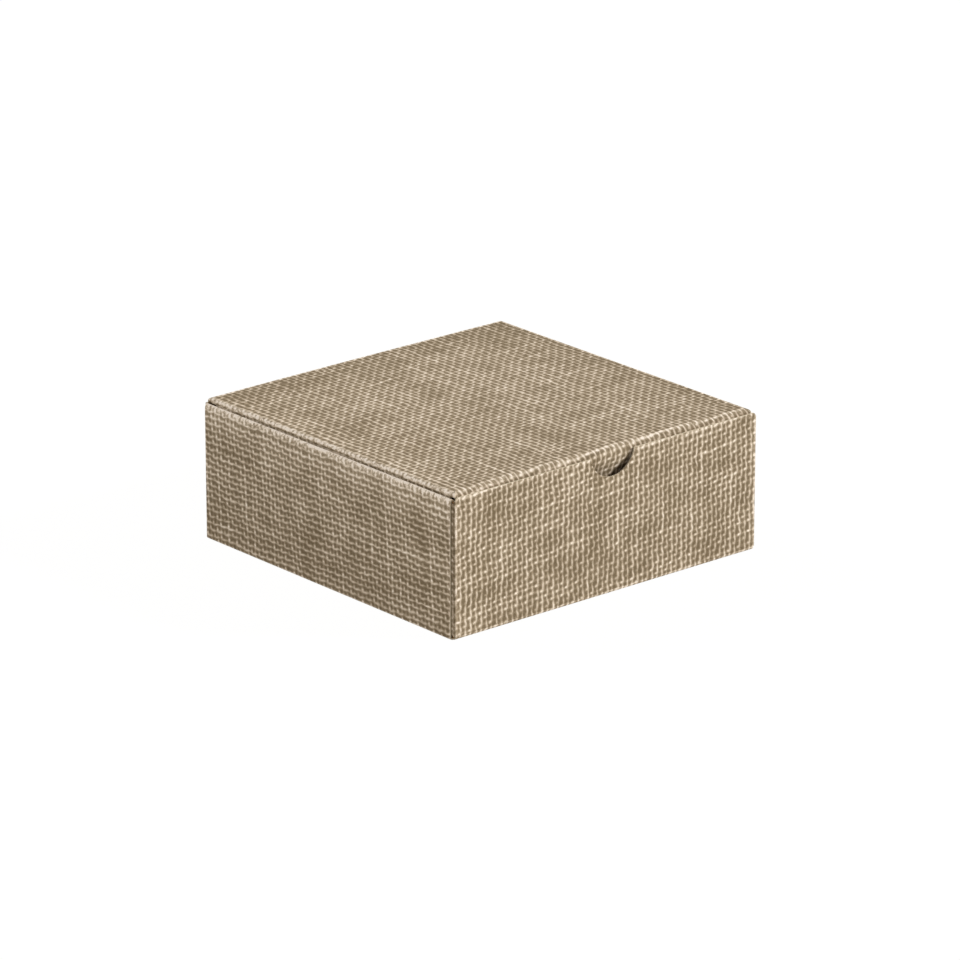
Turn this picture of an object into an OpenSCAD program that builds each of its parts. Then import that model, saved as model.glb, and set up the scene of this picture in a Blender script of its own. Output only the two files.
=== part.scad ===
// Folding gift box with a hinged lid, rolled side walls and a tuck flap, cut from one blank of
// printed carton board. Each panel, flap and fold of the blank is a module of its own.
// Origin: middle of the underside. +X is the box's right, -Y its front, +Z up. Millimetres.

/* [Box] */
// Outside width over the two side walls
box_w = 150; // [110:1:240]
// Outside depth over the front and back walls
box_d = 145; // [120:1:240]
// Outside height to the top of the closed lid
box_h = 56.4; // [46:0.1:90]

/* [Board] */
// Thickness of the board
board_t = 0.6; // [0.4:0.05:0.8]
// Air between two layers of board that lie on each other
layer_gap = 0.05; // [0.02:0.01:0.15]

/* [Folds] */
// Inside radius of the folds under the side walls
side_foot_in_r = 0.2; // [0.05:0.05:0.3]
// Inside radius of the folds under the front and back walls
end_foot_in_r = 0.8; // [0.1:0.1:2]
// Inside radius of the four upright corner folds
corner_in_r = 0.2; // [0.05:0.05:0.6]
// Inside radius of the outer fold in each rolled top edge
roll_outer_in_r = 0.55; // [0.3:0.05:0.6]
// Inside radius of the inner fold in each rolled top edge
roll_inner_in_r = 0.1; // [0.05:0.05:0.1]
// Inside radius of the folds at the lid's sides
lid_side_in_r = 0.9; // [0.3:0.1:1.2]
// Inside radius of the fold at the lid's front
lid_front_in_r = 1.8; // [0.6:0.1:2.4]
// Inside radius of the lid's hinge fold
hinge_in_r = 0.9; // [0.3:0.1:1.5]
// Soft flat run of board on each side of a fold that works as a hinge
fold_run = 1; // [0.8:0.1:2]

/* [Walls] */
// Drop from the top of the lid to the rolled top of the side walls
side_drop = 2.6; // [1.5:0.1:4]
// Drop from the top of the lid to the cut edge of the front wall
front_drop = 1.8; // [0.4:0.1:2]
// Set-back of the side walls' cut ends behind the front and back faces
side_setback = 1.1; // [0.9:0.1:2]
// Play between the rolled edges' ends and the front and back walls
roll_play = 0.5; // [0.4:0.05:0.8]

/* [Finger notch] */
// Radius of the half-moon notch in the front wall
notch_r = 11; // [7:0.5:14]
// Depth of the notch's lowest point below the top of the lid
notch_drop = 10.6; // [6:0.1:13]
// Offset of the notch to the right of the wall's middle
notch_x = 2; // [-5:0.1:5]

/* [Corner flaps] */
// Length of the corner flaps inside the side walls
corner_flap_l = 52; // [25:1:55]
// Taper of the corner flaps' long edges, in degrees
corner_flap_taper = 5; // [0:1:10]
// Radius of the corner flaps' free corners
corner_flap_r = 6; // [1:1:12]
// Clearance over and under the corner flaps
corner_flap_play = 0.4; // [0.2:0.1:1]

/* [Locks] */
// Length of each lock tab under the inner side walls
tab_l = 22; // [12:1:30]
// Distance from the middle of the box to the middle of each lock tab
tab_y = 34; // [22:1:40]
// Clearance round a lock tab in its slot
tab_play = 0.15; // [0.1:0.05:0.2]
// Rise of the tab's tip above the underside of the box
tab_tip_rise = 0.1; // [0.05:0.05:0.3]

/* [Lid] */
// Gap between the lid's side flaps and the inner side walls
lid_side_gap = 0.3; // [0.3:0.05:1]
// Gap between the lid's front fold and the front wall
lid_front_gap = 0.8; // [0.6:0.1:1.4]
// Gap left where two folds of the lid meet at a corner
mitre_gap = 0.15; // [0.1:0.05:0.6]
// Inset of the flaps' roots from the lid's corners
flap_relief = 2.6; // [2.4:0.1:5]

/* [Tuck flap] */
// Height of the tuck flap below the top of the lid
tuck_h = 20; // [14:0.5:21]
// Lean of the tuck flap into the box, in degrees
tuck_lean = 4; // [3.5:0.5:7]
// Taper of the tuck flap's ends, in degrees
tuck_taper = 28; // [28:1:40]
// Radius of the tuck flap's free corners
tuck_r = 7; // [2:0.5:9]

/* [Lid side flaps] */
// Height of the lid's side flaps below the top of the lid
side_flap_h = 25; // [14:0.5:30]
// Slope of the side flaps' front edges from upright, in degrees
side_flap_mitre = 45; // [45:1:55]
// Taper of the side flaps' back edges, in degrees
side_flap_taper = 10; // [5:1:20]
// Radius of the side flaps' free corners
side_flap_r = 5; // [1:0.5:8]

/* [Hidden] */
$fn = 72;

print_colour = "#ab9c82";
fold_colour = "#c8b99c";
inside_colour = "#b08a5e";
cut_over = 1; // how far a cutting solid runs past the face it cuts
arc_steps = 8; // straight steps in a flap's rounded corner

half_w = box_w / 2;
half_d = box_d / 2;
side_foot_r = side_foot_in_r + board_t;
end_foot_r = end_foot_in_r + board_t;
corner_r = corner_in_r + board_t;
roll_outer_r = roll_outer_in_r + board_t;
roll_inner_r = roll_inner_in_r + board_t;
lid_side_r = lid_side_in_r + board_t;
lid_front_r = lid_front_in_r + board_t;
hinge_r = hinge_in_r + board_t;

// Side wall, from the outside in: outer wall, corner flap, inner wall
layer_pitch = board_t + layer_gap;
corner_x = half_w - layer_pitch; // outer face of the corner flaps
inner_x = half_w - 2 * layer_pitch - board_t; // inner face of the inner walls
end_half_w = corner_x - corner_r; // half the flat width of the front and back walls
side_half_d = half_d - side_setback;
roll_half_d = half_d - board_t - roll_play;
roll_top = box_h - side_drop;
outer_wall_top = roll_top - roll_outer_r;
inner_wall_top = roll_top - roll_inner_r;

front_top = box_h - front_drop;

// From the outer face of each of the lid's folds to the end of its soft run
side_reach = lid_side_r + fold_run;
front_reach = lid_front_r + fold_run;
hinge_reach = hinge_r + fold_run;
back_top = box_h - hinge_reach;

lid_half_w = inner_x - lid_side_gap; // outer face of the lid's side flaps
lid_front = -half_d + board_t + lid_front_gap; // outer face of the lid's front fold
lid_back = half_d - hinge_reach; // where the lid's flat panel ends at the hinge
panel_half_w = lid_half_w - side_reach; // half the width of the lid's flat panel
panel_front = lid_front + front_reach; // front end of the lid's flat panel
side_fold_z = box_h - lid_side_r;
front_fold_z = box_h - lid_front_r;
hinge_fold_z = box_h - hinge_r;

// ---- outlines --------------------------------------------------------------------------

function unit(v) = v / norm(v);

// Arc of radius r that rounds the corner p between the neighbours a and b
function corner_arc(a, p, b, r) =
    let (
        u = unit(a - p),
        v = unit(b - p),
        half = acos(u * v) / 2,
        centre = p + unit(u + v) * r / sin(half),
        from = p + u * r / tan(half) - centre,
        to = p + v * r / tan(half) - centre,
        start = atan2(from.y, from.x),
        turn = atan2(from.x * to.y - from.y * to.x, from * to)
    )
    [for (i = [0:arc_steps])
        let (angle = start + turn * i / arc_steps)
        centre + r * [cos(angle), sin(angle)]];

// Outline of a flap with straight root corners a, d and rounded free corners b, c
function flap_outline(a, b, c, d, r) =
    concat([a], corner_arc(a, b, c, r), corner_arc(b, c, d, r), [d]);

// ---- shared solids ---------------------------------------------------------------------

// Section of a fold round the origin: board of outside radius r that turns from start to
// end degrees, with a straight run before and after the turn
module fold_section(r, start, end, run_before = 0, run_after = 0) {
    intersection() {
        difference() {
            circle(r);
            circle(r - board_t);
        }
        polygon([[0, 0], for (i = [0:2]) 2 * r * [cos(start + (end - start) * i / 2),
                                                  sin(start + (end - start) * i / 2)]]);
    }
    if (run_before > 0)
        rotate(start) translate([r - board_t, -run_before]) square([board_t, run_before]);
    if (run_after > 0)
        rotate(end) translate([r - board_t, 0]) square([board_t, run_after]);
}

// Draws a section of the (Y, Z) plane out along X, to both sides of the middle
module along_x(half_length) {
    rotate([90, 0, 90]) linear_extrude(2 * half_length, center = true) children();
}

// Draws a section of the (X, Z) plane out along Y, from one place to another
module along_y(from, to) {
    translate([0, to, 0]) rotate([90, 0, 0]) linear_extrude(to - from) children();
}

module mirrored(axis) {
    mirror(axis) children();
}

// ---- tray: bottom, front and back ------------------------------------------------------

module bottom_panel() {
    flat_half_w = half_w - side_foot_r;
    flat_half_d = half_d - end_foot_r;
    slot_l = tab_l + 2 * tab_play;
    slot_w = board_t + 2 * tab_play;
    color(inside_colour)
    difference() {
        translate([-flat_half_w, -flat_half_d, 0])
            cube([2 * flat_half_w, 2 * flat_half_d, board_t]);
        for (side = [-1, 1], end = [-1, 1])
            translate([side * (inner_x + board_t / 2), end * tab_y, board_t / 2])
                cube([slot_w, slot_l, board_t + 2 * cut_over], center = true);
    }
}

module front_bottom_fold() {
    color(fold_colour)
    along_x(end_half_w) translate([-half_d + end_foot_r, end_foot_r])
        fold_section(end_foot_r, 180, 270);
}

module back_bottom_fold() {
    mirrored([0, 1, 0]) front_bottom_fold();
}

module right_bottom_fold() {
    color(fold_colour)
    along_y(-side_half_d, side_half_d) translate([half_w - side_foot_r, side_foot_r])
        fold_section(side_foot_r, -90, 0);
}

module left_bottom_fold() {
    mirrored([1, 0, 0]) right_bottom_fold();
}

module front_wall() {
    color(print_colour)
    difference() {
        translate([-end_half_w, -half_d, end_foot_r])
            cube([2 * end_half_w, board_t, front_top - end_foot_r]);
        translate([notch_x, -half_d - cut_over, box_h - notch_drop + notch_r])
            rotate([-90, 0, 0]) cylinder(r = notch_r, h = board_t + 2 * cut_over);
    }
}

module back_wall() {
    color(print_colour)
    translate([-end_half_w, half_d - board_t, end_foot_r])
        cube([2 * end_half_w, board_t, back_top - end_foot_r]);
}

// Upright fold from an end wall into its corner flap, at the front right corner
module corner_fold(top) {
    color(fold_colour)
    translate([end_half_w, -half_d + corner_r, end_foot_r])
        linear_extrude(top - end_foot_r) fold_section(corner_r, -90, 0);
}

module front_right_corner_fold() {
    corner_fold(front_top);
}

module front_left_corner_fold() {
    mirrored([1, 0, 0]) corner_fold(front_top);
}

module back_right_corner_fold() {
    mirrored([0, 1, 0]) corner_fold(back_top);
}

module back_left_corner_fold() {
    mirrored([1, 0, 0]) mirrored([0, 1, 0]) corner_fold(back_top);
}

// Flap that runs back from an upright fold between the two layers of the side wall
module corner_flap() {
    root_y = -half_d + corner_r;
    tip_y = root_y + corner_flap_l;
    foot_z = end_foot_r + corner_flap_play;
    top_z = outer_wall_top - corner_flap_play;
    drop = corner_flap_l * tan(corner_flap_taper);
    color(print_colour)
    translate([corner_x - board_t, 0, 0]) rotate([90, 0, 90]) linear_extrude(board_t)
        polygon(flap_outline([root_y, foot_z], [tip_y, foot_z + drop],
                             [tip_y, top_z - drop], [root_y, top_z], corner_flap_r));
}

module front_right_corner_flap() {
    corner_flap();
}

module front_left_corner_flap() {
    mirrored([1, 0, 0]) corner_flap();
}

module back_right_corner_flap() {
    mirrored([0, 1, 0]) corner_flap();
}

module back_left_corner_flap() {
    mirrored([1, 0, 0]) mirrored([0, 1, 0]) corner_flap();
}

// ---- tray: rolled side walls -----------------------------------------------------------

module right_outer_wall() {
    color(print_colour)
    translate([half_w - board_t, -side_half_d, side_foot_r])
        cube([board_t, 2 * side_half_d, outer_wall_top - side_foot_r]);
}

module left_outer_wall() {
    mirrored([1, 0, 0]) right_outer_wall();
}

// Top edge that turns over the corner flaps, with a fold at each side
module right_rolled_edge() {
    outer_fold_x = half_w - roll_outer_r;
    inner_fold_x = inner_x + roll_inner_r;
    color(fold_colour)
    along_y(-roll_half_d, roll_half_d) {
        translate([outer_fold_x, outer_wall_top])
            fold_section(roll_outer_r, 0, 90, 0, outer_fold_x - inner_fold_x);
        translate([inner_fold_x, inner_wall_top])
            fold_section(roll_inner_r, 90, 180);
    }
}

module left_rolled_edge() {
    mirrored([1, 0, 0]) right_rolled_edge();
}

// Inner layer of the side wall, with two tabs that lock in the slots of the bottom
module right_inner_wall() {
    wall_foot = board_t + layer_gap;
    color(print_colour) {
        translate([inner_x, -roll_half_d, wall_foot])
            cube([board_t, 2 * roll_half_d, inner_wall_top - wall_foot]);
        for (end = [-1, 1])
            translate([inner_x, end * tab_y - tab_l / 2, tab_tip_rise])
                cube([board_t, tab_l, wall_foot - tab_tip_rise]);
    }
}

module left_inner_wall() {
    mirrored([1, 0, 0]) right_inner_wall();
}

// ---- lid -------------------------------------------------------------------------------

// Live fold from the back wall into the lid
module lid_hinge_fold() {
    color(fold_colour)
    along_x(lid_half_w) translate([half_d - hinge_r, hinge_fold_z])
        fold_section(hinge_r, 0, 90, fold_run, fold_run);
}

module lid_panel() {
    color(print_colour)
    translate([-panel_half_w, panel_front, box_h - board_t])
        cube([2 * panel_half_w, lid_back - panel_front, board_t]);
}

// Live fold from the lid into the tuck flap, mitred at both ends against the side folds
module lid_front_fold() {
    tip = lid_half_w - mitre_gap;
    root = panel_half_w - mitre_gap;
    color(fold_colour) {
        intersection() {
            along_x(lid_half_w) translate([lid_front + lid_front_r, front_fold_z])
                fold_section(lid_front_r, 90, 180 + tuck_lean, fold_run, 0);
            translate([0, 0, front_fold_z - lid_front_r])
                linear_extrude(2 * lid_front_r + cut_over)
                polygon([[-tip, lid_front], [tip, lid_front],
                         [root, panel_front], [-root, panel_front]]);
        }
        along_x(lid_half_w - flap_relief) translate([lid_front + lid_front_r, front_fold_z])
            rotate(180 + tuck_lean) translate([lid_front_in_r, 0]) square([board_t, fold_run]);
    }
}

// Live fold from the lid into a side flap, mitred at the front against the front fold
module lid_right_fold() {
    tip = lid_front + mitre_gap;
    root = panel_front + mitre_gap;
    color(fold_colour) {
        intersection() {
            along_y(lid_front, lid_back) translate([lid_half_w - lid_side_r, side_fold_z])
                fold_section(lid_side_r, 0, 90, 0, fold_run);
            translate([0, 0, side_fold_z - lid_side_r])
                linear_extrude(2 * lid_side_r + cut_over)
                polygon([[lid_half_w, tip], [lid_half_w, lid_back],
                         [panel_half_w, lid_back], [panel_half_w, root]]);
        }
        along_y(lid_front + flap_relief, lid_back - flap_relief)
            translate([lid_half_w - board_t, side_fold_z - fold_run])
            square([board_t, fold_run]);
    }
}

module lid_left_fold() {
    mirrored([1, 0, 0]) lid_right_fold();
}

// Flap that slides down behind the front wall
module tuck_flap() {
    root_x = lid_half_w - flap_relief;
    tip_s = tuck_h - lid_front_r; // run of the flap past its fold
    inset = (tip_s - fold_run) * tan(tuck_taper);
    color(print_colour)
    translate([0, lid_front + lid_front_r, front_fold_z]) rotate([tuck_lean, 0, 0])
    translate([0, -lid_front_r, 0]) rotate([-90, 0, 0]) linear_extrude(board_t)
        polygon(flap_outline([-root_x, fold_run], [-root_x + inset, tip_s],
                             [root_x - inset, tip_s], [root_x, fold_run], tuck_r));
}

// Flap that slides down inside the right side wall
module right_lid_flap() {
    root_front = lid_front + flap_relief;
    root_back = lid_back - flap_relief;
    tip_s = side_flap_h - lid_side_r; // run of the flap past its fold
    front_run = (tip_s - fold_run) * tan(side_flap_mitre);
    back_run = (tip_s - fold_run) * tan(side_flap_taper);
    color(print_colour)
    translate([lid_half_w, 0, side_fold_z]) rotate([0, 0, 90]) rotate([-90, 0, 0])
        linear_extrude(board_t)
        polygon(flap_outline([root_front, fold_run], [root_front + front_run, tip_s],
                             [root_back - back_run, tip_s], [root_back, fold_run],
                             side_flap_r));
}

module left_lid_flap() {
    mirrored([1, 0, 0]) right_lid_flap();
}

bottom_panel();
front_bottom_fold();
back_bottom_fold();
left_bottom_fold();
right_bottom_fold();
front_wall();
back_wall();
front_left_corner_fold();
front_right_corner_fold();
back_left_corner_fold();
back_right_corner_fold();
front_left_corner_flap();
front_right_corner_flap();
back_left_corner_flap();
back_right_corner_flap();
left_outer_wall();
right_outer_wall();
left_rolled_edge();
right_rolled_edge();
left_inner_wall();
right_inner_wall();
lid_hinge_fold();
lid_panel();
lid_front_fold();
lid_left_fold();
lid_right_fold();
tuck_flap();
left_lid_flap();
right_lid_flap();
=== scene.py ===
import math

import bpy
import numpy as np
from mathutils import Matrix, Vector


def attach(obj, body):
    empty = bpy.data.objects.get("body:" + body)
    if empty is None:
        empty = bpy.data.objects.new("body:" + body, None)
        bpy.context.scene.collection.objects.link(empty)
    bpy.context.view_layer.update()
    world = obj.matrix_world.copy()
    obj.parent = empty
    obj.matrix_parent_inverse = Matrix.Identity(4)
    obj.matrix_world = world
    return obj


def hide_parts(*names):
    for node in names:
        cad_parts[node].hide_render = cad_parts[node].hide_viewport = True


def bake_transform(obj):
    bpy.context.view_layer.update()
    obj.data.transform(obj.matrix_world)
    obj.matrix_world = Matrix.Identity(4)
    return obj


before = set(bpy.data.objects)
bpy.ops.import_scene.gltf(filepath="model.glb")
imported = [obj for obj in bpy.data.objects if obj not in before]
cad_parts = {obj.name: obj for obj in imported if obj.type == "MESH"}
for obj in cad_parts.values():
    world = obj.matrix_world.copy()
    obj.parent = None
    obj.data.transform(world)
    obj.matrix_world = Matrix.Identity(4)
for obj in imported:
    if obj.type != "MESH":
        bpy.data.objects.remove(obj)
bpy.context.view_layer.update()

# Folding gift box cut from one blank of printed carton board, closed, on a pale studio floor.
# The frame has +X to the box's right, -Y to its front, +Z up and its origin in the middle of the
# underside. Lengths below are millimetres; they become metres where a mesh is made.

MM = 0.001  # metres in a millimetre

# ---- sizes of the box, as in the part ----------------------------------------------------

BOX_W, BOX_D, BOX_H = 150.0, 145.0, 56.4
BOARD_T = 0.6
LAYER_GAP = 0.05
SIDE_FOOT_R, END_FOOT_R, CORNER_R = 0.8, 1.4, 0.8  # outside radii of the tray's folds
SIDE_REACH, FRONT_REACH, HINGE_REACH = 2.5, 3.4, 2.5  # how far the lid's folds reach in
SIDE_DROP, FRONT_DROP = 2.6, 1.8
ROLL_INNER_R, ROLL_H = 0.7, 1.15  # rolled edge: inner fold's radius, outer fold's height
CORNER_FLAP_PLAY = 0.4  # from the top of a corner flap up to the rolled edge
LID_SIDE_GAP, LID_FRONT_GAP, MITRE_GAP, FLAP_RELIEF = 0.3, 0.8, 0.15, 2.6
TUCK_H, TUCK_LEAN, TUCK_TAPER, TUCK_R = 20.0, 4.0, 28.0, 7.0
NOTCH_R, NOTCH_DROP, NOTCH_X = 11.0, 10.6, 2.0

HALF_W, HALF_D = BOX_W / 2, BOX_D / 2
LAYER_PITCH = BOARD_T + LAYER_GAP
CORNER_X = HALF_W - LAYER_PITCH
INNER_X = HALF_W - 2 * LAYER_PITCH - BOARD_T
END_HALF_W = CORNER_X - CORNER_R
OUTER_WALL_TOP = BOX_H - SIDE_DROP - ROLL_H
ROLL_TOP = BOX_H - SIDE_DROP
INNER_WALL_TOP = ROLL_TOP - ROLL_INNER_R
FRONT_TOP = BOX_H - FRONT_DROP
BACK_TOP = BOX_H - HINGE_REACH
LID_HALF_W = INNER_X - LID_SIDE_GAP
LID_FRONT = -HALF_D + BOARD_T + LID_FRONT_GAP
LID_BACK = HALF_D - HINGE_REACH
PANEL_HALF_W = LID_HALF_W - SIDE_REACH
PANEL_FRONT = LID_FRONT + FRONT_REACH
LID_FLAP_TOP = BOX_H - SIDE_REACH
NOTCH_Z = BOX_H - NOTCH_DROP + NOTCH_R  # height of the notch's centre

# How real board departs from the part's exact folds, always inside the part's box
SHOULDER_R, SHOULDER_TURN = 15.0, 9.0  # soft shoulder under each rolled edge, degrees of turn
LID_SIDE_R, LID_FRONT_R, HINGE_R = 1.6, 2.9, 2.0  # outside radii of the lid's folds
SIDE_RUN, FRONT_RUN = SIDE_REACH - LID_SIDE_R, FRONT_REACH - LID_FRONT_R  # flat beside a fold
HINGE_RUN = HINGE_REACH - HINGE_R
ROLL_OUTER_R = 0.9  # outside radius of the rest of the outer fold in the rolled edge
LID_SAG = 0.55  # how far the lid's sides lie below the highest part of its slight crown
CREASE_SPREAD = 0.9  # how far the worn print reaches beside a fold
FRONT_SETBACK, BACK_SETBACK = 1.8, 0.9  # from the side walls' cut ends to the faces beside them
SIDE_WEAR_AND_HIGHLIGHT = 3.0  # crease value on the ridge of the lid's side folds: rubbed pale, and raised further as a painted highlight
WALL_CORNER_R = 1.0  # rounding of the front wall's two upper corners
TUCK_BOW = 2.1  # how far the middle of the tuck flap bows away from the front wall
FRONT_RIDGE, SIDE_RIDGE = 1.5, 1.5  # from a lid fold's start to its palest line, on the blank
CROWN_FADE = 0.6  # share of the crown that is gone by the time it reaches the hinge


# ---- the blank: where each place on the box lies on the flat printed sheet ---------------
# u runs to the box's right, and v from the lid over the back wall and the bottom to the front
# wall, in millimetres, both 0 in the middle of the bottom. A bend uses up blank along the middle
# of the board's thickness.

def bend_length(radius, degrees=90.0):
    """Blank used by a bend of that outside radius: angle times the board's middle radius."""
    return math.radians(degrees) * (radius - BOARD_T / 2)


V_FRONT_FOOT = HALF_D - END_FOOT_R + bend_length(END_FOOT_R)  # at the foot of the front wall
V_BACK_TOP = -V_FRONT_FOOT - (BACK_TOP - END_FOOT_R)
V_LID_BACK = V_BACK_TOP - 2 * HINGE_RUN - bend_length(HINGE_R)
V_LID = V_LID_BACK - LID_BACK  # v on the lid is this plus y
V_TUCK = V_LID + PANEL_FRONT - 2 * FRONT_RUN - bend_length(LID_FRONT_R, 90 + TUCK_LEAN)
U_SIDE_FOOT = HALF_W - SIDE_FOOT_R + bend_length(SIDE_FOOT_R)
U_CORNER = END_HALF_W + bend_length(CORNER_R)
U_LID_FLAP = PANEL_HALF_W + 2 * SIDE_RUN + bend_length(LID_SIDE_R)


# ---- board in section, and the sheets carried along it -----------------------------------

def section(start, heading, moves, step_degrees=7.5):
    """Printed face of the board in section: a pen starts at start and heads along heading, in
    degrees, with the printed side on its right. A move (length, 0) is a straight run, and a
    move (radius, degrees) an arc that turns left. Returns the points, the unit normals to the
    printed side, the blank length used so far, and a crease value: 1 on an arc, and on a run a
    bell curve of the distance to the nearest arc."""
    points, normals, lengths, creases = [], [], [], []
    place, used = np.array(start, float), 0.0
    for size, turn in moves:
        steps = max(1, math.ceil(turn / step_degrees)) if turn else 4
        k = np.linspace(0.0, 1.0, steps + 1)
        angle = np.radians(heading + turn * k)
        side = np.stack([np.sin(angle), -np.cos(angle)], -1)
        ahead = np.stack([np.cos(angle), np.sin(angle)], -1)
        path = place + (size * (side - side[0]) if turn else size * k[:, None] * ahead)
        length = bend_length(size, turn) if turn else size
        points.append(path)
        normals.append(side)
        lengths.append(used + length * k)
        creases.append(np.full(steps + 1, 1.0 if turn else 0.0))
        place, used, heading = path[-1], used + length, heading + turn
    points, normals = np.concatenate(points), np.concatenate(normals)
    lengths, creases = np.concatenate(lengths), np.concatenate(creases)
    kept = np.append(True, np.diff(lengths) > 1e-6)  # joints of two moves are there twice
    to_arc = np.abs(lengths[:, None] - lengths[creases > 0]).min(1, initial=1e3)
    spread = bell(to_arc, CREASE_SPREAD)
    return points[kept], normals[kept], lengths[kept], spread[kept]


def board(name, face, normals, blank, crease, finishes):
    """Sheet of board: the printed face is a grid of points, the bare face the same grid moved
    back by the thickness along its normals, and strips of cut edge close the four sides. Each
    point keeps its place on the blank and its crease value in the attribute 'blank'."""
    rows, cols = face.shape[:2]
    ids = np.arange(rows * cols).reshape(rows, cols)
    a, b, c, d = ids[:-1, :-1], ids[1:, :-1], ids[1:, 1:], ids[:-1, 1:]
    quads = np.stack([a, b, c, d], -1).reshape(-1, 4)
    flat = face.reshape(-1, 3)
    across = np.cross(flat[quads[:, 1]] - flat[quads[:, 0]], flat[quads[:, 2]] - flat[quads[:, 0]])
    outward = (across * normals.reshape(-1, 3)[quads[:, 0]]).sum() > 0
    if not outward:
        quads = quads[:, ::-1]
    ring = np.concatenate([ids[:-1, 0], ids[-1, :-1], ids[:0:-1, -1], ids[0, :0:-1]])
    ahead = np.roll(ring, -1)
    bare = ids.size
    rims = np.stack([ahead, ring, ring + bare, ahead + bare], -1)
    if not outward:
        rims = rims[:, ::-1]
    faces = np.concatenate([quads, quads[:, ::-1] + bare, rims])
    vertices = np.concatenate([flat, flat - BOARD_T * normals.reshape(-1, 3)]) * MM
    mesh = bpy.data.meshes.new(name)
    mesh.from_pydata(vertices.tolist(), [], faces.tolist())
    kinds = np.repeat([0, 1, 2], [len(quads), len(quads), len(rims)]).astype(np.int32)
    mesh.polygons.foreach_set("material_index", kinds)
    mesh.polygons.foreach_set("use_smooth", np.ones(len(faces), bool))
    place = np.concatenate([blank, crease[..., None]], -1).reshape(-1, 3)
    attribute = mesh.attributes.new("blank", "FLOAT_VECTOR", "POINT")
    attribute.data.foreach_set("vector", np.concatenate([place, place]).ravel())
    mesh.set_sharp_from_angle(angle=math.radians(40))
    mesh.update()
    for finish in finishes:
        mesh.materials.append(finish)
    piece = bpy.data.objects.new(name, mesh)
    bpy.context.scene.collection.objects.link(piece)
    return piece


def carried(profile, from_, to, steps):
    """A section carried along a straight line: row i of the grid is section point i, and its
    columns go from from_[i] to to[i] along the line, in that many equal steps or at the given
    shares. Returns the two section coordinates, the place along the line, the section's normals,
    blank length and crease."""
    points, normals, lengths, crease = profile
    k = np.asarray(steps) if np.ndim(steps) else np.linspace(0.0, 1.0, steps + 1)
    start = np.broadcast_to(np.asarray(from_, float), lengths.shape)[:, None]
    end = np.broadcast_to(np.asarray(to, float), lengths.shape)[:, None]
    along = start + (end - start) * k
    grid = np.ones_like(along)
    return (points[:, :1] * grid, points[:, 1:] * grid, along, normals[:, :1] * grid,
            normals[:, 1:] * grid, lengths[:, None] * grid, crease[:, None] * grid)


def lid_crown(face, foot_z):
    """Lets the lid sink from flat to its slight crown. The sag is 0 at the middle of the front,
    and grows with the square of the distance from the middle and evenly towards the hinge. In
    a fold it fades to nothing from the lid's top down to foot_z."""
    across = np.clip(face[..., 0] / LID_HALF_W, -1, 1)
    back = np.clip((face[..., 1] - LID_FRONT) / (HALF_D - LID_FRONT), 0, 1)
    sag = LID_SAG * (1 - (1 - across ** 2) * (1 - CROWN_FADE * back))
    share = np.clip((face[..., 2] - foot_z) / (BOX_H - foot_z), 0, 1)
    return face - np.stack([0 * sag, 0 * sag, sag * share], -1)


def bell(distance, width):
    """1 at no distance, and e^-(distance/width)^2 away from it."""
    return np.exp(-(distance / width) ** 2)


def smooth(value, low, high):
    """0 below low, 1 above high, and an even S between them."""
    t = np.clip((value - low) / (high - low), 0, 1)
    return t * t * (3 - 2 * t)


# ---- materials ---------------------------------------------------------------------------

def linear(code, alpha=1.0):
    """Scene colour of an sRGB hex code: the standard curve undone on each channel."""
    parts = [int(code[i:i + 2], 16) / 255 for i in (1, 3, 5)]
    curve = [c / 12.92 if c <= 0.04045 else ((c + 0.055) / 1.055) ** 2.4 for c in parts]
    return (*curve, alpha)


def add(tree, kind, *values, inputs=None, **settings):
    """Adds a node, sets its settings, and fills its inputs in order or by name. A value may be
    a number, a colour, a socket, or a node, which stands for its first output; None is skipped."""
    node = tree.nodes.new("ShaderNode" + kind)
    for setting, value in settings.items():
        setattr(node, setting, value)
    for key, value in [*enumerate(values), *(inputs or {}).items()]:
        if value is None:
            continue
        if isinstance(value, bpy.types.Node):
            value = value.outputs[0]
        if isinstance(value, bpy.types.NodeSocket):
            tree.links.new(value, node.inputs[key])
        else:
            node.inputs[key].default_value = value
    return node


def new_group(name, inputs, outputs):
    """An empty node group with the named inputs and outputs, each with its kind of value."""
    tree = bpy.data.node_groups.new(name, "ShaderNodeTree")
    for title, kind in inputs:
        tree.interface.new_socket(title, in_out="INPUT", socket_type="NodeSocket" + kind)
    for title, kind in outputs:
        tree.interface.new_socket(title, in_out="OUTPUT", socket_type="NodeSocket" + kind)
    return tree, tree.nodes.new("NodeGroupInput"), tree.nodes.new("NodeGroupOutput")


def falloff(tree, distance, width):
    """e^-(distance/width)^2, the soft edge of a printed thread."""
    share = add(tree, "Math", distance, width, operation="DIVIDE")
    square = add(tree, "Math", share, share, operation="MULTIPLY")
    square = add(tree, "Math", square, -1.0, operation="MULTIPLY")
    return add(tree, "Math", square, operation="EXPONENT")


def seen_directly(tree):
    """1 for the camera's own rays and for those a shiny or clear surface sends on, else 0."""
    path = add(tree, "LightPath")
    seen = add(tree, "Math", path.outputs["Is Camera Ray"], path.outputs["Is Glossy Ray"],
               operation="MAXIMUM")
    return add(tree, "Math", seen, path.outputs["Is Transmission Ray"], operation="MAXIMUM")


# Plain woven jute, printed in two brown inks on coated board. Strands run along the blank's v
# every 2.46 mm, rows cross them every 2.25 mm and rise 4 degrees, and over every second row a
# strand is covered by a loop that stands out to its left.
STRANDS_PER_MM = 0.406
ROWS_PER_MM = 0.444
ROW_SLOPE = -0.033
SWAY_AT, FULL_AT = 0.168, 0.353  # shares of the two-row repeat, counted from a loop
LOOP_LEFT = 0.326  # from a strand's middle to its loop's, in strand spacings
STRAND_WIDTH, LOOP_WIDTH, LOOP_HEIGHT, BAR_WIDTH = 0.165, 0.25, 0.125, 0.23


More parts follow.
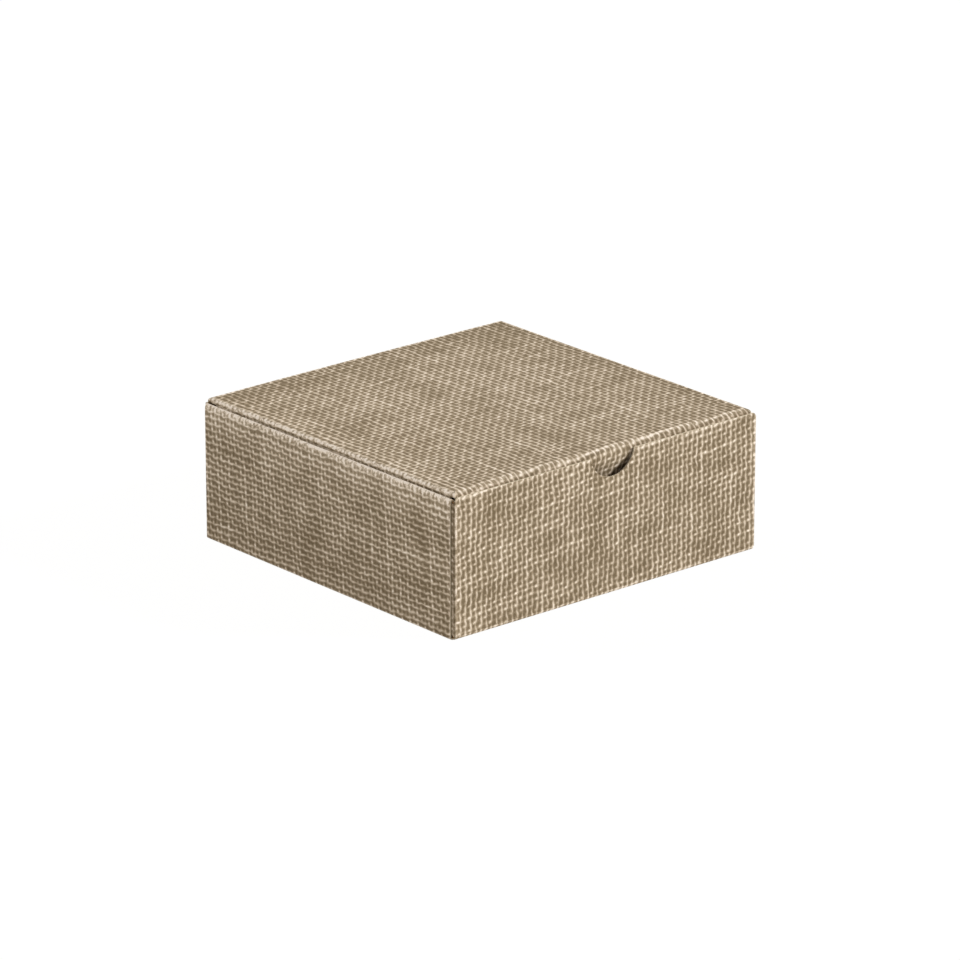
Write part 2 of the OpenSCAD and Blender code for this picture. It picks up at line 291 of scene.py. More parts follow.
def jute_print():
    """The printed weave as a group. From the place on the blank come the thread number, the
    distance to its middle and the place in the two-row repeat. Strand, loop and row are bell
    curves e^-(x/width)^2 of those, and the tone is 1 minus the product of (1 - each)."""
    tree, given, result = new_group("woven jute print", [("Blank", "Vector"), ("Wear and painted light", "Float")],
                                    [("Colour", "Color"), ("Height", "Float")])
    blank = given.outputs["Blank"]

    # the threads wander by a few tenths of a millimetre, as in any jute cloth, in waves of
    # 16 mm and of 4.5 mm
    place = blank
    for wave, reach in ((16, 2.4), (4.5, 1.1)):
        aside = add(tree, "TexNoise", blank, inputs={"Scale": 1 / wave, "Detail": 1.0})
        aside = add(tree, "VectorMath", aside.outputs["Color"], (0.5, 0.5, 0.5),
                    operation="SUBTRACT")
        place = add(tree, "VectorMath", aside, (reach, reach, 0), place, operation="MULTIPLY_ADD")
    split = add(tree, "SeparateXYZ", place)
    u, v = split.outputs["X"], split.outputs["Y"]

    strand_count = add(tree, "Math", u, STRANDS_PER_MM, operation="MULTIPLY")
    row_count = add(tree, "Math", v, ROWS_PER_MM, operation="MULTIPLY")
    row_count = add(tree, "Math", u, ROW_SLOPE, row_count, operation="MULTIPLY_ADD")
    strand_no = add(tree, "Math", strand_count, operation="ROUND")
    off_strand = add(tree, "Math", strand_count, strand_no, operation="SUBTRACT")
    row_no = add(tree, "Math", row_count, operation="ROUND")
    off_row = add(tree, "Math", row_count, row_no, operation="SUBTRACT")
    odd = add(tree, "Math", strand_no, 2.0, operation="FLOORED_MODULO")
    repeat = add(tree, "Math", row_count, odd, operation="ADD")
    repeat = add(tree, "Math", repeat, 0.5, operation="MULTIPLY")
    turn = add(tree, "Math", repeat, 2 * math.pi, operation="MULTIPLY")

    # each strand and row has its own strength, which also changes slowly along it
    strand_own = add(tree, "TexWhiteNoise", inputs={"W": strand_no}, noise_dimensions="1D")
    row_own = add(tree, "TexWhiteNoise", inputs={"W": row_no}, noise_dimensions="1D")
    strand_key = add(tree, "Math", strand_no, 7.31, operation="MULTIPLY")
    along = add(tree, "Math", row_count, 0.11, operation="MULTIPLY")
    strand_track = add(tree, "CombineXYZ", strand_key, along)
    strand_slow = add(tree, "TexNoise", strand_track, inputs={"Scale": 1.0, "Detail": 2.0})
    row_key = add(tree, "Math", row_no, 5.77, operation="MULTIPLY")
    across = add(tree, "Math", strand_count, 0.09, operation="MULTIPLY")
    row_track = add(tree, "CombineXYZ", across, row_key, 3.7)
    row_slow = add(tree, "TexNoise", row_track, inputs={"Scale": 1.0, "Detail": 2.0})

    # strand: sways once in each repeat, and is fullest a third of the repeat above its loop
    swing = add(tree, "Math", turn, SWAY_AT * 2 * math.pi, operation="SUBTRACT")
    swing = add(tree, "Math", swing, operation="COSINE")
    lean = add(tree, "Math", swing, 0.056, -0.04, operation="MULTIPLY_ADD")
    late = add(tree, "Math", turn, FULL_AT * 2 * math.pi, operation="SUBTRACT")
    fullness = add(tree, "Math", late, operation="COSINE")
    width = add(tree, "Math", fullness, 0.018, STRAND_WIDTH, operation="MULTIPLY_ADD")
    width = add(tree, "Math", strand_own.outputs["Value"], 0.07, width, operation="MULTIPLY_ADD")
    aside = add(tree, "Math", off_strand, lean, operation="SUBTRACT")
    strand = falloff(tree, aside, width)
    strength = add(tree, "Math", fullness, 0.165, 0.51, operation="MULTIPLY_ADD")
    strength = add(tree, "Math", strand_own.outputs["Value"], 0.11, strength,
                   operation="MULTIPLY_ADD")
    slow = add(tree, "Math", strand_slow, 0.5, operation="SUBTRACT")
    strength = add(tree, "Math", slow, 0.65, strength, operation="MULTIPLY_ADD")
    slub = add(tree, "MapRange", strand_slow, 0.6, 0.8, 0.0, 0.16)  # thick bright stretches
    strength = add(tree, "Math", strength, slub, operation="ADD")
    strand = add(tree, "Math", strand, strength, operation="MULTIPLY")

    # loop: a bright spot a third of the strand spacing to the left, wider than it is high
    loop_count = add(tree, "Math", strand_count, LOOP_LEFT, operation="ADD")
    loop_no = add(tree, "Math", loop_count, operation="ROUND")
    left = add(tree, "Math", loop_count, loop_no, operation="SUBTRACT")
    odd_loop = add(tree, "Math", loop_no, 2.0, operation="FLOORED_MODULO")
    up = add(tree, "Math", row_count, odd_loop, operation="ADD")
    up = add(tree, "Math", up, 0.5, operation="MULTIPLY")
    nearest = add(tree, "Math", up, operation="ROUND")
    up = add(tree, "Math", up, nearest, operation="SUBTRACT")
    left, up = falloff(tree, left, LOOP_WIDTH), falloff(tree, up, LOOP_HEIGHT)
    loop = add(tree, "Math", left, up, operation="MULTIPLY")
    loop_strength = add(tree, "Math", row_slow, 2.0, -0.22, operation="MULTIPLY_ADD")
    loop = add(tree, "Math", loop, loop_strength, operation="MULTIPLY")

    # row: a dimmer bar across, between the strands
    bar = falloff(tree, off_row, BAR_WIDTH)
    bar_strength = add(tree, "Math", row_slow, 1.1, -0.39, operation="MULTIPLY_ADD")
    bar_strength = add(tree, "Math", row_own.outputs["Value"], 0.08, bar_strength,
                       operation="MULTIPLY_ADD")
    bar = add(tree, "Math", bar, bar_strength, operation="MULTIPLY")

    dark = add(tree, "Math", 1.0, strand, operation="SUBTRACT")
    no_loop = add(tree, "Math", 1.0, loop, operation="SUBTRACT")
    no_bar = add(tree, "Math", 1.0, bar, operation="SUBTRACT")
    dark = add(tree, "Math", dark, no_loop, operation="MULTIPLY")
    dark = add(tree, "Math", dark, no_bar, operation="MULTIPLY")
    tone = add(tree, "Math", 1.0, dark, operation="SUBTRACT")

    # fibres: streaks 0.2 mm wide and 1.4 mm long along the strands, a grain of 0.4 mm, and
    # clouds of 12 mm
    fibre_at = add(tree, "VectorMath", place, (5.0, 0.7, 1.0), operation="MULTIPLY")
    fibre = add(tree, "TexNoise", fibre_at, inputs={"Scale": 1.0, "Detail": 2.0})
    grain = add(tree, "TexNoise", blank, inputs={"Scale": 2.5, "Detail": 2.0})
    cloud = add(tree, "TexNoise", blank, inputs={"Scale": 1 / 12, "Detail": 3.0})
    for noise, share in ((fibre, 0.52), (grain, 0.56), (cloud, 0.38)):
        swing = add(tree, "Math", noise, 0.5, operation="SUBTRACT")
        tone = add(tree, "Math", swing, share, tone, operation="MULTIPLY_ADD")

    # a rubbed crease is paler where the pale coating shows through; a large value also paints a
    # highlight on the lid's side folds and rolled edges, and a value below 0 paints shade into
    # seams and recesses
    worn = add(tree, "TexNoise", blank, inputs={"Scale": 0.9, "Detail": 3.0})
    worn = add(tree, "MapRange", worn, 0.35, 0.65, 0.12, 0.38)
    tone = add(tree, "Math", worn, given.outputs["Wear and painted light"], tone, operation="MULTIPLY_ADD")

    inks = add(tree, "ValToRGB", tone)
    ramp = inks.color_ramp
    ramp.elements[0].position, ramp.elements[0].color = 0.0, linear("#75664f")
    ramp.elements[1].position, ramp.elements[1].color = 1.0, linear("#fff5ea")
    ramp.elements.new(0.35).color = linear("#a5957e")
    ramp.elements.new(0.75).color = linear("#e2d4c2")
    paper = add(tree, "TexNoise", blank, inputs={"Scale": 6.0, "Detail": 3.0})
    height = add(tree, "Math", tone, 0.35, paper, operation="MULTIPLY_ADD")
    tree.links.new(inks.outputs["Color"], result.inputs["Colour"])
    tree.links.new(height.outputs[0], result.inputs["Height"])
    return tree


def kraft_liner():
    """Bare brown liner as a group: two browns mixed by long fibres, with darker flecks."""
    tree, given, result = new_group("kraft liner", [("Place", "Vector")],
                                    [("Colour", "Color"), ("Height", "Float")])
    place = given.outputs["Place"]
    # fibres 2 to 3 mm long and 0.15 mm wide, laid mostly along the sheet
    laid = add(tree, "VectorMath", place, (0.4, 6.0, 6.0), operation="MULTIPLY")
    fibre = add(tree, "TexNoise", laid, inputs={"Scale": 1.0, "Detail": 4.0, "Distortion": 0.6})
    cloud = add(tree, "TexNoise", place, inputs={"Scale": 0.12, "Detail": 3.0})
    blend = add(tree, "Math", cloud, 0.6, operation="MULTIPLY")
    blend = add(tree, "Math", fibre, 0.7, blend, operation="MULTIPLY_ADD")
    browns = add(tree, "ValToRGB", blend)
    ramp = browns.color_ramp
    ramp.elements[0].position, ramp.elements[0].color = 0.42, linear("#9a764e")
    ramp.elements[1].position, ramp.elements[1].color = 0.88, linear("#c29c70")
    fleck = add(tree, "TexNoise", place, inputs={"Scale": 2.2, "Detail": 1.0})
    fleck = add(tree, "MapRange", fleck, 0.68, 0.76, 0.0, 0.35)
    colour = add(tree, "Mix", fleck, inputs={6: browns.outputs["Color"], 7: linear("#6d4f31")},
                 data_type="RGBA")
    tree.links.new(colour.outputs[2], result.inputs["Colour"])
    tree.links.new(fibre.outputs[0], result.inputs["Height"])
    return tree


def cut_core():
    """Die-cut edge as a group: pale buff pulp core with short torn fibres along the cut."""
    tree, given, result = new_group("cut board core", [("Place", "Vector")],
                                    [("Colour", "Color"), ("Height", "Float")])
    torn = add(tree, "TexNoise", given.outputs["Place"], inputs={"Scale": 3.0, "Detail": 4.0})
    buffs = add(tree, "ValToRGB", torn)
    ramp = buffs.color_ramp
    ramp.elements[0].position, ramp.elements[0].color = 0.3, linear("#b9ab92")
    ramp.elements[1].position, ramp.elements[1].color = 0.7, linear("#e3d9c5")
    tree.links.new(buffs.outputs["Color"], result.inputs["Colour"])
    tree.links.new(torn.outputs[0], result.inputs["Height"])
    return tree


PRINT, KRAFT, CORE = jute_print(), kraft_liner(), cut_core()
PRINT_ROUGH, KRAFT_ROUGH, CORE_ROUGH = 0.78, 0.9, 0.9
RELIEF = 0.02 * MM  # height of the paper's own texture under the ink


def new_material(name):
    """An empty node material with its output node."""
    material = bpy.data.materials.new(name)
    material.use_nodes = True
    tree = material.node_tree
    tree.nodes.clear()
    return material, tree, add(tree, "OutputMaterial")


def paper_shader(tree, out, colour, height, rough, specular=0.2):
    """Matt paper surface: colour and fine relief vary, and a low gloss keeps the hues deep."""
    relief = add(tree, "Bump", inputs={"Strength": 0.5, "Distance": RELIEF, "Height": height})
    shader = add(tree, "BsdfPrincipled", inputs={
        "Base Color": colour, "Roughness": rough, "Specular IOR Level": specular,
        "Normal": relief})
    tree.links.new(shader.outputs[0], out.inputs["Surface"])


def folded_print():
    """Matt printed board on a folded piece. The weave follows the blank round every fold, and
    the ink is paler along the crease, which gives the box its light edges. On the lid's side folds
    and the rolled edges part of that paleness is a painted highlight, and a crease value below 0
    paints shade into seams and recesses."""
    material, tree, out = new_material("matt printed board, folded")
    blank = add(tree, "Attribute", attribute_name="blank")
    split = add(tree, "SeparateXYZ", blank.outputs["Vector"])
    place = add(tree, "CombineXYZ", split.outputs["X"], split.outputs["Y"])
    weave = add(tree, "Group", node_tree=PRINT)
    tree.links.new(place.outputs[0], weave.inputs["Blank"])
    tree.links.new(split.outputs["Z"], weave.inputs["Wear and painted light"])
    paper_shader(tree, out, weave.outputs["Colour"], weave.outputs["Height"], PRINT_ROUGH, 0.22)
    return material


def bare_finish(name, group, rough):
    """Kraft liner or cut core on a folded piece, on the object's own millimetres."""
    material, tree, out = new_material(name)
    place = add(tree, "TexCoord")
    place = add(tree, "VectorMath", place.outputs["Object"], operation="SCALE",
                inputs={"Scale": 1 / MM})
    surface = add(tree, "Group", node_tree=group)
    tree.links.new(place.outputs[0], surface.inputs["Place"])
    paper_shader(tree, out, surface.outputs["Colour"], surface.outputs["Height"], rough)
    return material


def panel_finish(name, outward, across, up, u_0, v_0):
    """Finish of one flat panel, on its own millimetres. u is u_0 plus the place along across,
    and v is v_0 plus the place along up. The side that faces outward is printed, the side that
    faces away is bare kraft, and what faces neither is the pale cut edge."""
    material, tree, out = new_material(name)
    given = add(tree, "TexCoord")
    place = add(tree, "VectorMath", given.outputs["Object"], operation="SCALE",
                inputs={"Scale": 1 / MM})
    u = add(tree, "VectorMath", place, across, operation="DOT_PRODUCT")
    v = add(tree, "VectorMath", place, up, operation="DOT_PRODUCT")
    u = add(tree, "Math", u.outputs["Value"], u_0, operation="ADD")
    v = add(tree, "Math", v.outputs["Value"], v_0, operation="ADD")
    blank = add(tree, "CombineXYZ", u, v)
    weave = add(tree, "Group", node_tree=PRINT)
    tree.links.new(blank.outputs[0], weave.inputs["Blank"])
    kraft = add(tree, "Group", node_tree=KRAFT)
    tree.links.new(place.outputs[0], kraft.inputs["Place"])
    core = add(tree, "Group", node_tree=CORE)
    tree.links.new(place.outputs[0], core.inputs["Place"])
    facing = add(tree, "VectorMath", given.outputs["Normal"], outward, operation="DOT_PRODUCT")
    printed = add(tree, "Math", facing.outputs["Value"], 0.7, operation="GREATER_THAN")
    bare = add(tree, "Math", facing.outputs["Value"], -0.7, operation="LESS_THAN")
    colour = add(tree, "Mix", printed, inputs={6: core.outputs["Colour"],
                                               7: weave.outputs["Colour"]}, data_type="RGBA")
    colour = add(tree, "Mix", bare, inputs={6: colour.outputs[2], 7: kraft.outputs["Colour"]},
                 data_type="RGBA")
    height = add(tree, "Mix", printed, inputs={2: core.outputs["Height"],
                                               3: weave.outputs["Height"]})
    height = add(tree, "Mix", bare, inputs={2: height.outputs[0], 3: kraft.outputs["Height"]})
    rough = add(tree, "Mix", printed, inputs={2: KRAFT_ROUGH, 3: PRINT_ROUGH})
    paper_shader(tree, out, colour.outputs[2], height.outputs[0], rough.outputs[0])
    return material


FOLDED = [folded_print(), bare_finish("bare kraft liner", KRAFT, KRAFT_ROUGH),
          bare_finish("die-cut board core", CORE, CORE_ROUGH)]

# ---- panels that keep the part's own shape -----------------------------------------------

X, Y, Z = (1, 0, 0), (0, 1, 0), (0, 0, 1)
DOWN, BACK, LEFT = (0, 0, -1), (0, -1, 0), (-1, 0, 0)
v_front_0 = V_FRONT_FOOT - END_FOOT_R  # v on the front wall is this plus z
root_y = HALF_D - CORNER_R  # where the corner flaps leave their folds
flap_u_0 = U_LID_FLAP + LID_FLAP_TOP  # u on the lid's right flap is this minus z

# name of the panel: printed side, direction of u, direction of v, u and v at the origin
panels = {
    "bottom_panel": (DOWN, X, BACK, 0, 0),
    "back_wall": (Y, X, DOWN, 0, -v_front_0),
    "front_right_corner_flap": (X, Y, Z, U_CORNER + root_y, v_front_0),
    "front_left_corner_flap": (LEFT, BACK, Z, -U_CORNER - root_y, v_front_0),
    "back_right_corner_flap": (X, BACK, DOWN, U_CORNER + root_y, -v_front_0),
    "back_left_corner_flap": (LEFT, Y, DOWN, -U_CORNER - root_y, -v_front_0),
    "right_lid_flap": (X, DOWN, Y, flap_u_0, V_LID),
    "left_lid_flap": (LEFT, Z, Y, -flap_u_0, V_LID),
}

# ---- folded pieces -----------------------------------------------------------------------

def finish_piece(piece, body, nodes):
    """Hides the nodes the piece stands for, and lets the piece ride on its body if one is given.
    """
    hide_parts(*nodes)
    if body:
        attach(piece, body)


def blank_of(u, v):
    """The two blank coordinates as one grid of pairs."""
    return np.stack([u * np.ones_like(v), v * np.ones_like(u)], -1)


def points_of(x, y, z):
    """Three grids of coordinates as one grid of points."""
    return np.stack([x, y, z], -1)


side_front, side_back = -HALF_D + FRONT_SETBACK, HALF_D - BACK_SETBACK  # ends of the side walls
END_SHARES = np.array([0, 0.002, 0.004, 0.006, 0.01, 0.5, 0.99, 0.996, 1])  # closer at the ends
flap_top_z = OUTER_WALL_TOP - CORNER_FLAP_PLAY  # where the corner flaps leave their folds

# Folds under the front and back walls: a quarter turn carried along X
foot = section((HALF_D - END_FOOT_R, 0), 0, [(END_FOOT_R, 90)])
for name, side in (("front", -1), ("back", 1)):
    y, z, x, ny, nz, used, crease = carried(foot, -END_HALF_W, END_HALF_W, 2)
    v = -side * (HALF_D - END_FOOT_R + used)
    piece = board(name + "_bottom_crease", points_of(x, side * y, z),
                  points_of(0 * x, side * ny, nz), blank_of(x, v), crease, FOLDED)
    finish_piece(piece, "base", [name + "_bottom_fold"])

# Folds under the side walls: a quarter turn carried along Y
foot = section((HALF_W - SIDE_FOOT_R, 0), 0, [(SIDE_FOOT_R, 90)])
for name, side in (("left", -1), ("right", 1)):
    x, z, y, nx, nz, used, crease = carried(foot, side_front, side_back, 2)
    u = side * (HALF_W - SIDE_FOOT_R + used)
    piece = board(name + "_bottom_crease", points_of(side * x, y, z),
                  points_of(side * nx, 0 * x, nz), blank_of(u, -y), crease, FOLDED)
    finish_piece(piece, "base", [name + "_bottom_fold"])

# Upright corner folds: a quarter turn in plan carried up Z, whose top slopes from the wall's
# edge down to the flap's
corner = section((END_HALF_W, -HALF_D), 0, [(CORNER_R, 90)])
for end, end_side, top in (("front", -1, FRONT_TOP - WALL_CORNER_R), ("back", 1, BACK_TOP)):
    for name, side in (("left", -1), ("right", 1)):
        slope = top - (top - flap_top_z) * smooth(corner[2], 0.2, corner[2][-1])
        x, y, z, nx, ny, used, crease = carried(corner, END_FOOT_R, slope, 2)
        # rubbed pale beside the wall, then painted shade where the fold lies in the recess behind
        # the side wall's end
        crease = 0.9 * bell(used, 0.3) - 1.5 * smooth(used, 0.05, 0.4)
        v = -end_side * (V_FRONT_FOOT + z - END_FOOT_R)
        piece = board(f"{end}_{name}_corner_crease", points_of(side * x, -end_side * y, z),
                      points_of(side * nx, -end_side * ny, 0 * z),
                      blank_of(side * (END_HALF_W + used), v), crease, FOLDED)
        finish_piece(piece, "base", [f"{end}_{name}_corner_fold"])

# Side walls with a soft shoulder and the rolled top edge. The run up the wall and the run over
# the corner flaps are whatever the bends between them leave of the height and of the width.
shoulder = math.radians(SHOULDER_TURN)
shoulder_in = SHOULDER_R * (1 - math.cos(shoulder)) + ROLL_OUTER_R * math.cos(shoulder)
shoulder_up = SHOULDER_R * math.sin(shoulder) + ROLL_OUTER_R * (1 - math.sin(shoulder))
over = HALF_W - shoulder_in - ROLL_INNER_R - INNER_X
wall = section((HALF_W, SIDE_FOOT_R), 90,
               [(ROLL_TOP - shoulder_up - SIDE_FOOT_R, 0), (SHOULDER_R, SHOULDER_TURN),
                (ROLL_OUTER_R, 90 - SHOULDER_TURN), (over, 0), (ROLL_INNER_R, 90)], 6.0)
height = wall[0][:, 1] - ROLL_TOP
# the rolled edge and the shoulder under it are paler: partly rubbed print, partly a painted
# highlight
wall_wear_and_highlight = 1.9 * smooth(height, -1.8, -0.3) + 0.9 * smooth(height, -4.4, -2.4)
wall_wear_and_highlight[wall[2] > wall[2][-1] - bend_length(ROLL_INNER_R)] = 0  # the inner side gets neither wear nor painted highlight
for name, side in (("left", -1), ("right", 1)):
    x, z, y, nx, nz, used, crease = carried((*wall[:3], wall_wear_and_highlight), side_front, side_back,
                                            END_SHARES)
    crease = np.maximum(crease, 1.4 * bell(y - side_front, 0.4))
    piece = board(name + "_side_wall", points_of(side * x, y, z), points_of(side * nx, 0 * x, nz),
                  blank_of(side * (U_SIDE_FOOT + used), -y), crease, FOLDED)
    finish_piece(piece, "base", [name + "_outer_wall", name + "_rolled_edge"])
    sheet_u = U_SIDE_FOOT + wall[2][-1] + INNER_WALL_TOP
    panels[name + "_inner_wall"] = ((LEFT if side > 0 else X), (DOWN if side > 0 else Z), BACK,
                                    side * sheet_u, 0)

# Front wall: each column of the grid runs from the foot to the wall's top edge. The edge is
# level, dips along a circle in the finger notch, and falls along a smaller circle at both ends.
notch_half = math.sqrt(NOTCH_R ** 2 - (NOTCH_Z - FRONT_TOP) ** 2)
notch_x = NOTCH_X - notch_half * np.cos(np.linspace(0, math.pi, 61))
corner_x = END_HALF_W - WALL_CORNER_R * (1 - np.sin(np.linspace(0, math.pi / 2, 8)))
column_x = np.concatenate([
    -corner_x[::-1], np.linspace(-corner_x[0], notch_x[0], 22)[1:-1], notch_x,
    np.linspace(notch_x[-1], corner_x[0], 22)[1:-1], corner_x])
into_corner = np.clip(np.abs(column_x) - END_HALF_W + WALL_CORNER_R, 0, WALL_CORNER_R)
edge_z = FRONT_TOP - WALL_CORNER_R + np.sqrt(WALL_CORNER_R ** 2 - into_corner ** 2)
into_notch = np.clip(NOTCH_R ** 2 - (column_x - NOTCH_X) ** 2, 0, None)
in_notch = np.abs(column_x - NOTCH_X) < notch_half
edge_z = np.where(in_notch, NOTCH_Z - np.sqrt(into_notch), edge_z)
rise = 1 - np.linspace(1, 0, 19)[:, None] ** 2.2
z = END_FOOT_R + (edge_z - END_FOOT_R) * rise
x = column_x + 0 * z
rubbed = np.where(in_notch, 0.2, 1.2) * bell(edge_z - z, 0.9)
rubbed = np.maximum(rubbed, 1.2 * bell(END_HALF_W - 0.3 - np.abs(x), 0.6))
piece = board("front_sheet", points_of(x, 0 * x - HALF_D, z),
              points_of(0 * x, 0 * x - 1, 0 * x), blank_of(x, v_front_0 + z), rubbed, FOLDED)
finish_piece(piece, "base", ["front_wall"])

# Lid panel: a flat grid, closer at its edges, that sinks to its crown. The print is pale where
# the front fold is rubbed, and painted shade darkens it towards the back and right edges.
edge_steps = np.array([0, 0.3, 0.7, 1.2, 1.8, 3.0])
inner = np.linspace(-1, 1, 45)
across = (PANEL_HALF_W - 4.5) * inner
across = np.concatenate([-PANEL_HALF_W + edge_steps, across, PANEL_HALF_W - edge_steps[::-1]])
middle, reach = (PANEL_FRONT + LID_BACK) / 2, (LID_BACK - PANEL_FRONT) / 2
ahead = np.concatenate([-reach + edge_steps, (reach - 4.5) * inner, reach - edge_steps[::-1]])
x, y = np.meshgrid(across, middle + ahead)
rubbed = 1.1 * bell(y - PANEL_FRONT + FRONT_RIDGE, CREASE_SPREAD)
# painted shade towards the back and right edges of the lid
shade = 0.45 * smooth(y, LID_BACK - 28, LID_BACK)
shade = shade + 0.3 * smooth(x, PANEL_HALF_W - 20, PANEL_HALF_W)
face = lid_crown(points_of(x, y, np.full_like(x, BOX_H)), LID_FLAP_TOP)
piece = board("lid_sheet", face, points_of(0 * x, 0 * x, 1 + 0 * x), blank_of(x, V_LID + y),
              rubbed - shade, FOLDED)
finish_piece(piece, "lid", ["lid_panel"])

# Hinge fold: up the back wall, over a quarter turn and on to the lid. Its ends are as round as
# the side folds they meet.
hinge = section((HALF_D, BACK_TOP), 90, [(HINGE_RUN, 0), (HINGE_R, 90), (HINGE_RUN, 0)])
into_fold = np.clip(hinge[0][:, 1] - BOX_H + LID_SIDE_R, 0, LID_SIDE_R)
end_x = LID_HALF_W - LID_SIDE_R + np.sqrt(LID_SIDE_R ** 2 - into_fold ** 2)
y, z, x, ny, nz, used, crease = carried(hinge, -end_x, end_x, 48)
piece = board("lid_hinge_crease", lid_crown(points_of(x, y, z), BACK_TOP),
              points_of(0 * x, ny, nz), blank_of(x, V_BACK_TOP - used), crease, FOLDED)
finish_piece(piece, None, ["lid_hinge_fold"])
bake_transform(piece)

# Front fold: its ends follow the mitre and then draw in to the root of the tuck flap
front = section((PANEL_FRONT, BOX_H), 180,
                [(FRONT_RUN, 0), (LID_FRONT_R, 90 + TUCK_LEAN), (FRONT_RUN, 0)])
mitre = (front[0][:, 0] - LID_FRONT) / FRONT_REACH
end_x = LID_HALF_W - MITRE_GAP - mitre * SIDE_REACH
foot_z = front[0][-1, 1]
draw_in = smooth(-front[0][:, 1], -foot_z - 1.1, -foot_z)
end_x = end_x + (LID_HALF_W - FLAP_RELIEF - end_x) * draw_in
front = (*front[:3], 1.1 * bell(front[2] - FRONT_RIDGE, CREASE_SPREAD))
y, z, x, ny, nz, used, crease = carried(front, -end_x, end_x, 48)
piece = board("lid_front_crease", lid_crown(points_of(x, y, z), foot_z), points_of(0 * x, ny, nz),
              blank_of(x, V_LID + PANEL_FRONT - used), crease, FOLDED)
finish_piece(piece, None, ["lid_front_fold"])
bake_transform(piece)

# Tuck flap: hangs straight at its ends and bows away from the front wall in its middle. Each
# row reaches to the tapered side, or near the tip to the circle that rounds the corner.
run = TUCK_H - FRONT_REACH
tuck = section(front[0][-1], 270 + TUCK_LEAN,
               [(run * share, 0) for share in (0.3, 0.3, 0.2, 0.12, 0.05, 0.03)])
taper = math.radians(TUCK_TAPER)
from_root = tuck[2]
end_x = LID_HALF_W - FLAP_RELIEF - from_root * math.tan(taper)
circle_at = from_root[-1] - TUCK_R
circle_x = LID_HALF_W - FLAP_RELIEF - circle_at * math.tan(taper) - TUCK_R / math.cos(taper)
round_x = circle_x + np.sqrt(np.clip(TUCK_R ** 2 - (from_root - circle_at) ** 2, 0, None))
end_x = np.where(from_root > circle_at + TUCK_R * math.sin(taper), round_x, end_x)
y, z, x, ny, nz, used, crease = carried(tuck, -end_x, end_x, 48)
y = y + TUCK_BOW * smooth(used, 0, 8) * np.clip(1 - (x / circle_x) ** 2, 0, 1) ** 2
piece = board("tuck_sheet", points_of(x, y, z), points_of(0 * x, ny, nz),
              blank_of(x, V_TUCK - used), 0 * crease, FOLDED)
finish_piece(piece, "tuck_flap", ["tuck_flap"])

# Side folds of the lid: up the flap, over a quarter turn and on to the lid. At the front they
# follow the mitre and draw in to the flap's root. At the back they reach the hinge fold's end.
# Their ridge is rubbed pale and carries a painted highlight, and painted shade darkens the print
# down in the seam above the rolled edge.
side_fold = section((LID_HALF_W, LID_FLAP_TOP), 90,
                    [(SIDE_RUN, 0), (LID_SIDE_R, 90), (SIDE_RUN, 0)])
# painted highlight on the ridge on top of its wear, and painted shade in the seam at the fold's
# foot
side_fold = (*side_fold[:3], SIDE_WEAR_AND_HIGHLIGHT * bell(side_fold[2] - SIDE_RIDGE, 0.75)
             - 1.3 * (1 - smooth(side_fold[2], 0.2, 0.8)))
mitre = (LID_HALF_W - side_fold[0][:, 0]) / SIDE_REACH
from_y = LID_FRONT + MITRE_GAP + mitre * FRONT_REACH
draw_in = smooth(-side_fold[0][:, 1], -LID_FLAP_TOP - 0.5, -LID_FLAP_TOP)
from_y = from_y + (LID_FRONT + FLAP_RELIEF - from_y) * draw_in
into_fold = np.clip(side_fold[0][:, 1] - BOX_H + HINGE_R, 0, HINGE_R)
to_y = HALF_D - HINGE_R + np.sqrt(HINGE_R ** 2 - into_fold ** 2) - MITRE_GAP
above_root = smooth(side_fold[0][:, 1] - LID_FLAP_TOP, -0.2, 0.4)
to_y = LID_BACK + (to_y - LID_BACK) * above_root
for name, side in (("left", -1), ("right", 1)):
    x, z, y, nx, nz, used, crease = carried(side_fold, from_y, to_y, 48)
    piece = board(f"lid_{name}_crease", lid_crown(points_of(side * x, y, z), LID_FLAP_TOP),
                  points_of(side * nx, 0 * x, nz), blank_of(side * (U_LID_FLAP - used), V_LID + y),
                  crease, FOLDED)
    finish_piece(piece, None, [f"lid_{name}_fold"])
    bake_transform(piece)

for name, facts in panels.items():
    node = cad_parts[name]
    finish = panel_finish("matt printed board, " + name.replace("_", " "), *facts)
    for place in node.material_slots:
        place.material = finish

# ---- floor, light and camera -------------------------------------------------------------

# Pale floor. Seen directly it is white with a faint trace of the box's shadow.
floor_mesh = bpy.data.meshes.new("studio_floor")
floor_size, floor_z = 3.0, -0.1 * MM
corners = [(x * floor_size, y * floor_size, floor_z)
           for x, y in ((-1, -1), (1, -1), (1, 1), (-1, 1))]
floor_mesh.from_pydata(corners, [], [(0, 1, 2, 3)])
floor = bpy.data.objects.new("studio_floor", floor_mesh)
bpy.context.scene.collection.objects.link(floor)
material, tree, out = new_material("matt studio paper")
seen = add(tree, "Math", seen_directly(tree), 0.93, operation="MULTIPLY")
paper = add(tree, "BsdfDiffuse", linear("#e6e4e0"))
white = add(tree, "Emission", inputs={"Color": (1, 1, 1, 1), "Strength": 1.04})
surface = add(tree, "MixShader", seen, paper, white)
tree.links.new(surface.outputs[0], out.inputs["Surface"])
floor_mesh.materials.append(material)

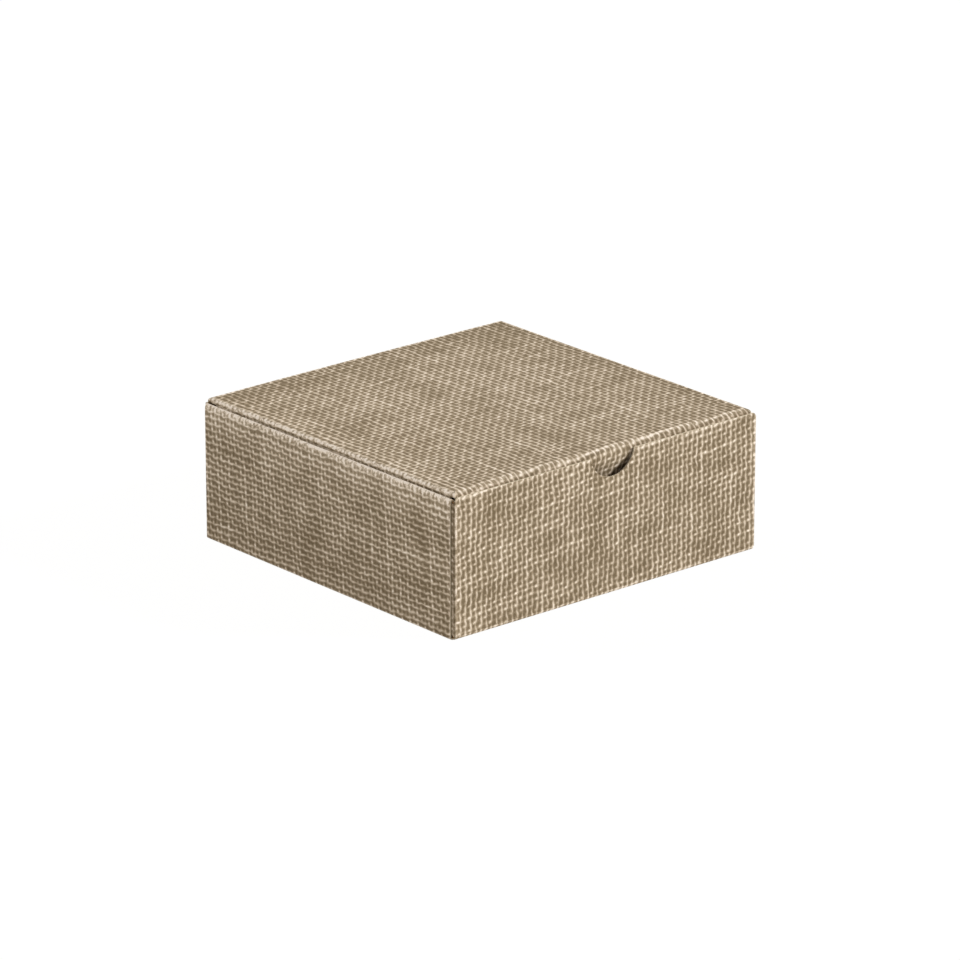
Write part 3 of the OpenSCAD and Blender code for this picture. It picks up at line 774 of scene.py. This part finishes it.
world = bpy.data.worlds.new("studio")
bpy.context.scene.world = world
world.use_nodes = True
tree = world.node_tree
tree.nodes.clear()
soft = add(tree, "Background", inputs={"Color": linear("#fffaf3"), "Strength": 0.31})
white = add(tree, "Background", inputs={"Color": (1, 1, 1, 1), "Strength": 1.0})
surface = add(tree, "MixShader", seen_directly(tree), soft, white)
tree.links.new(surface.outputs[0], add(tree, "OutputWorld").inputs["Surface"])

# Key light from the front right, and a weaker one from behind on the left that lights the
# folded edges there. A direction is from the box to the light, and its length is how much of a
# full white a surface square to it would show. With it stand the light's spread and its tint.
lights = {
    "key_light": (Vector((0.55, -0.52, 0.36)), 11, "#fffcf6"),
    "edge_light": (Vector((-0.17, 0.39, 0.3)), 24, "#fffaf3"),
}
for name, (direction, spread, tint) in lights.items():
    data = bpy.data.lights.new(name, "SUN")
    data.energy = math.pi * direction.length
    data.angle = math.radians(spread)
    data.color = linear(tint)[:3]
    lamp = bpy.data.objects.new(name, data)
    lamp.rotation_mode = "QUATERNION"
    lamp.rotation_quaternion = direction.to_track_quat("Z", "Y")
    lamp.location = direction
    bpy.context.scene.collection.objects.link(lamp)

# Camera fitted to the box's outline: a long lens from the front left, a little above
azimuth, elevation = math.radians(-40.634), math.radians(19.4475)
distance, lens = 2253.24, 224.26
aim, slide_right, slide_up = Vector((0, 0, 28.0)), -0.0168, -2.5141
back = Vector((math.sin(azimuth) * math.cos(elevation), -math.cos(azimuth) * math.cos(elevation),
               math.sin(elevation)))
right = Vector((math.cos(azimuth), math.sin(azimuth), 0))
above = back.cross(right)
camera_data = bpy.data.cameras.new("camera")
camera_data.lens = lens
camera_data.clip_start, camera_data.clip_end = 0.1, 20.0
camera = bpy.data.objects.new("camera", camera_data)
turn = Matrix((right, above, back)).transposed().to_4x4()
turn.translation = (aim + back * distance + right * slide_right + above * slide_up) * MM
camera.matrix_world = turn
bpy.context.scene.collection.objects.link(camera)
bpy.context.scene.camera = camera
bpy.context.scene.view_settings.view_transform = "Standard"
